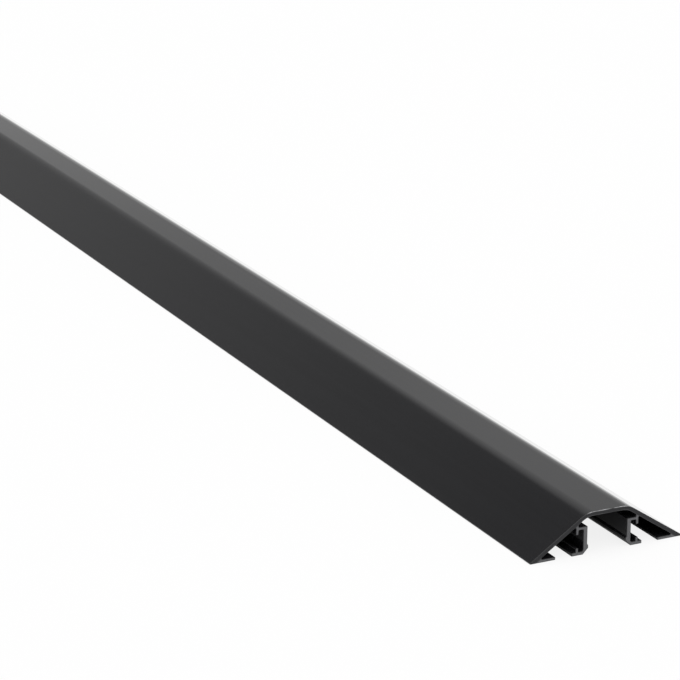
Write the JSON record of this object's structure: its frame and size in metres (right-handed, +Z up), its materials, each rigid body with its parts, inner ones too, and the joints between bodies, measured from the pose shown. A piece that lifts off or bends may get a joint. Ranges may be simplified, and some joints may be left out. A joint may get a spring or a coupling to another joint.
{
  "type": "floor cable protector profile",
  "caption": "Low black extruded ridge with two ramps that lies over cables on a floor, with a central cable channel open underneath.",
  "frame": {"origin": "middle of the length and width, on the floor plane that the feet stand on", "axes": "+X along the length of the run, +Y across it, +Z up from the floor towards the crest"},
  "size_m": [1, 0.08, 0.02],
  "materials": {
    "black_anodised_aluminium": "extruded, satin black anodised after sawing"
  },
  "bodies": {
    "root": {"cable_protector_profile": "black_anodised_aluminium"}
  },
  "joints": []
}
